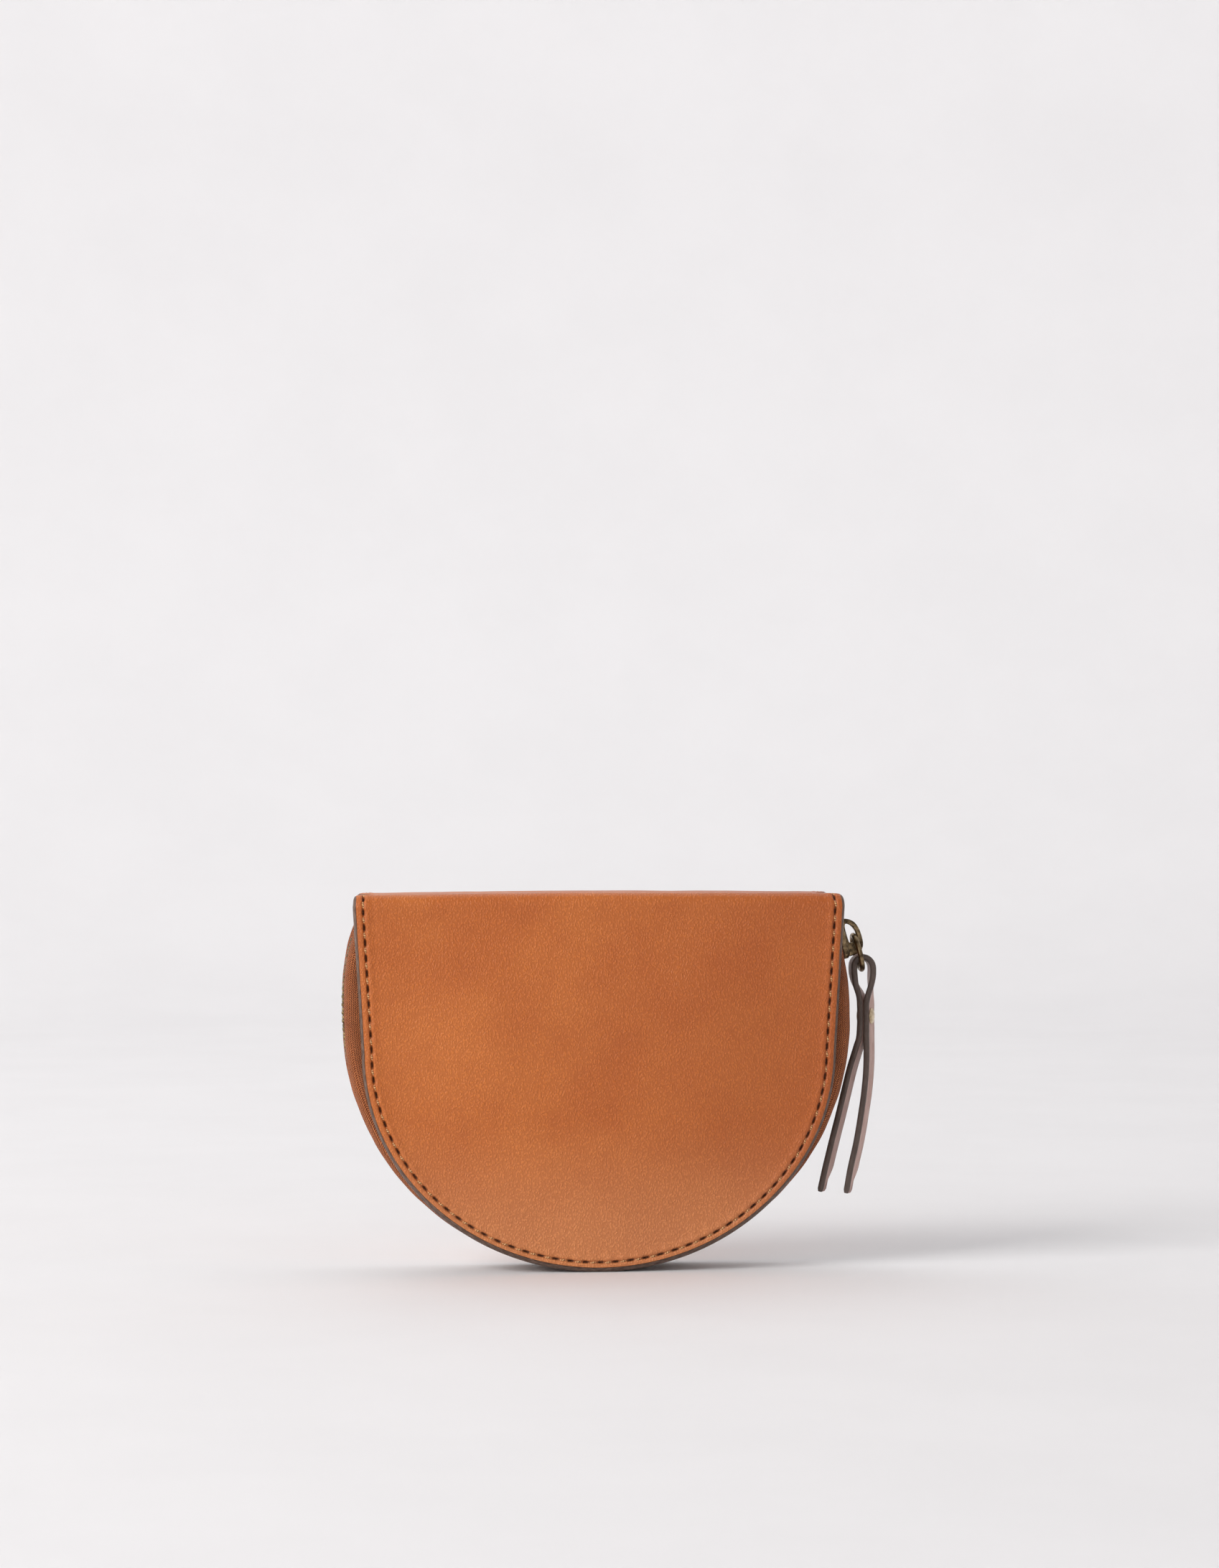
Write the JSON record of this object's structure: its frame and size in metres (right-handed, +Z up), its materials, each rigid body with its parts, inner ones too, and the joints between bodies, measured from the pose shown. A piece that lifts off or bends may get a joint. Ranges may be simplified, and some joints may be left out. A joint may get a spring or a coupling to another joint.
{
  "type": "zip-around purse",
  "caption": "Half-moon leather purse folded over a flat top, closed by a curved zip with a leather thong pull.",
  "frame": {"origin": "on the surface that the purse stands on, midway between its front and back halves and under the middle of its width", "axes": "+X across the purse towards the closed slider, +Y from the front face to the back face, +Z up to the fold"},
  "size_m": [0.142, 0.022, 0.099],
  "materials": {
    "outer_leather": "semi-matt grained cognac leather",
    "edge_paint": "satin painted edge",
    "stiffener_board": "bonded leather board with painted edge",
    "lining": "smooth matt lining leather",
    "pocket_leather": "smooth matt leather",
    "thread": "waxed polyester thread",
    "zip_tape": "woven tape",
    "zip_metal": "antique brass",
    "slider_metal": "antique brass, darkened",
    "thong_leather": "matt leather, raw flesh side inside",
    "rivet_metal": "polished"
  },
  "bodies": {
    "back_half": {"back_leather": "outer_leather", "back_stiffener": "stiffener_board", "back_lining": "lining", "slip_pocket": "pocket_leather", "slip_pocket_thread": "thread", "back_tape": "zip_tape", "back_teeth": "zip_metal", "back_thread": "thread"},
    "spine": {"spine_leather": "outer_leather", "spine_lining": "lining", "tail_tape_right": "zip_tape", "tail_tape_left": "zip_tape", "tail_teeth_right": "zip_metal", "tail_teeth_left": "zip_metal", "top_stops": "zip_metal", "bottom_stop": "zip_metal"},
    "front_half": {"front_leather": "outer_leather", "front_stiffener": "stiffener_board", "front_lining": "lining", "card_slot_rear": "pocket_leather", "card_slot_middle": "pocket_leather", "card_slot_front": "pocket_leather", "card_slot_thread": "thread", "front_tape": "zip_tape", "front_teeth": "zip_metal", "front_thread": "thread"},
    "slider": {"slider_body": "slider_metal", "slider_crown": "slider_metal"},
    "ring": {"jump_ring": "slider_metal"},
    "pull": {"pull_thong": "thong_leather", "rivet_cap": "rivet_metal", "rivet_base": "rivet_metal"}
  },
  "joints": [
    {"name": "spine_fold", "type": "hinge", "parent": "back_half", "child": "spine", "pos_m": [0, 0.011, 0.099], "axis": [-1, 0, 0], "range_deg": [0, 45]},
    {"name": "front_fold", "type": "hinge", "parent": "spine", "child": "front_half", "pos_m": [0, -0.011, 0.099], "axis": [-1, 0, 0], "range_deg": [0, 45]},
    {"name": "zip_travel", "type": "hinge", "parent": "spine", "child": "slider", "pos_m": [0, 0, 0.0679], "axis": [0, 1, 0], "range_deg": [0, 211]},
    {"name": "ring_swing", "type": "hinge", "parent": "slider", "child": "ring", "pos_m": [0.0686, 0, 0.08752], "axis": [0, -1, 0], "range_deg": [0, 150]},
    {"name": "thong_swing", "type": "hinge", "parent": "ring", "child": "pull", "pos_m": [0.07085, 0, 0.0785], "axis": [0, -1, 0], "range_deg": [0, 60]}
  ],
  "couplings": [
    {"joint": "front_fold", "follows": "spine_fold", "ratio": 1}
  ]
}
